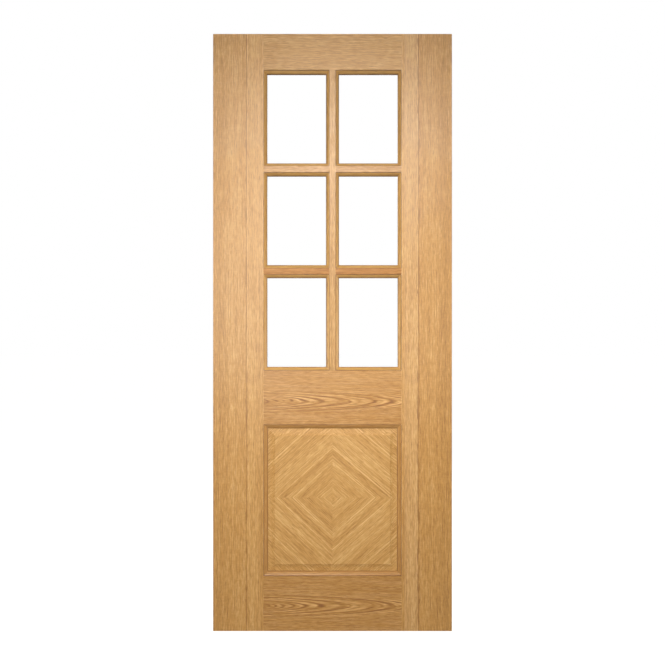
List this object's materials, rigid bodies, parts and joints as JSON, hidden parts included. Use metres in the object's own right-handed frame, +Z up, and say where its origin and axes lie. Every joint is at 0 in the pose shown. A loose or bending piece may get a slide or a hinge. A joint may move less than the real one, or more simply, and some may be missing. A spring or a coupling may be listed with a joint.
{
  "type": "glazed interior door",
  "caption": "Timber interior door leaf with small clear panes between glazing bars above a raised and fielded panel, without frame or fittings.",
  "frame": {"origin": "on the hinge edge, at the foot of the leaf and halfway through its thickness", "axes": "+X from the hinge edge to the lock edge, +Y from the front face to the back face, +Z up"},
  "size_m": [0.813, 0.035, 2.032],
  "materials": {
    "oak_outer_stave": "satin lacquer",
    "oak_inner_stave": "satin lacquer",
    "oak_lipping": "satin lacquer",
    "oak_rail": "satin lacquer",
    "oak_glazing_bar": "satin lacquer",
    "oak_bead": "satin lacquer",
    "oak_veneer": "satin lacquer",
    "oak_moulding": "satin lacquer",
    "panel_core": "bare board",
    "clear_glass": "polished"
  },
  "bodies": {
    "root": {"bottom_hinge_side_back_beads": "oak_bead", "bottom_hinge_side_front_beads": "oak_bead", "bottom_hinge_side_glass": "clear_glass", "bottom_lock_side_back_beads": "oak_bead", "bottom_lock_side_front_beads": "oak_bead", "bottom_lock_side_glass": "clear_glass", "bottom_rail": "oak_rail", "hinge_stile_edge_lipping": "oak_lipping", "hinge_stile_inner_lipping": "oak_lipping", "hinge_stile_inner_stave": "oak_inner_stave", "hinge_stile_outer_stave": "oak_outer_stave", "lock_stile_edge_lipping": "oak_lipping", "lock_stile_inner_lipping": "oak_lipping", "lock_stile_inner_stave": "oak_inner_stave", "lock_stile_outer_stave": "oak_outer_stave", "lower_glazing_bar": "oak_glazing_bar", "middle_hinge_side_back_beads": "oak_bead", "middle_hinge_side_front_beads": "oak_bead", "middle_hinge_side_glass": "clear_glass", "middle_lock_side_back_beads": "oak_bead", "middle_lock_side_front_beads": "oak_bead", "middle_lock_side_glass": "clear_glass", "middle_rail": "oak_rail", "panel_back_moulding": "oak_moulding", "panel_core": "panel_core", "panel_front_moulding": "oak_moulding", "panel_lower_hinge_side_veneer": "oak_veneer", "panel_lower_lock_side_veneer": "oak_veneer", "panel_upper_hinge_side_veneer": "oak_veneer", "panel_upper_lock_side_veneer": "oak_veneer", "top_hinge_side_back_beads": "oak_bead", "top_hinge_side_front_beads": "oak_bead", "top_hinge_side_glass": "clear_glass", "top_lock_side_back_beads": "oak_bead", "top_lock_side_front_beads": "oak_bead", "top_lock_side_glass": "clear_glass", "top_rail": "oak_rail", "upper_glazing_bar": "oak_glazing_bar", "upright_glazing_bar": "oak_glazing_bar"}
  },
  "joints": []
}
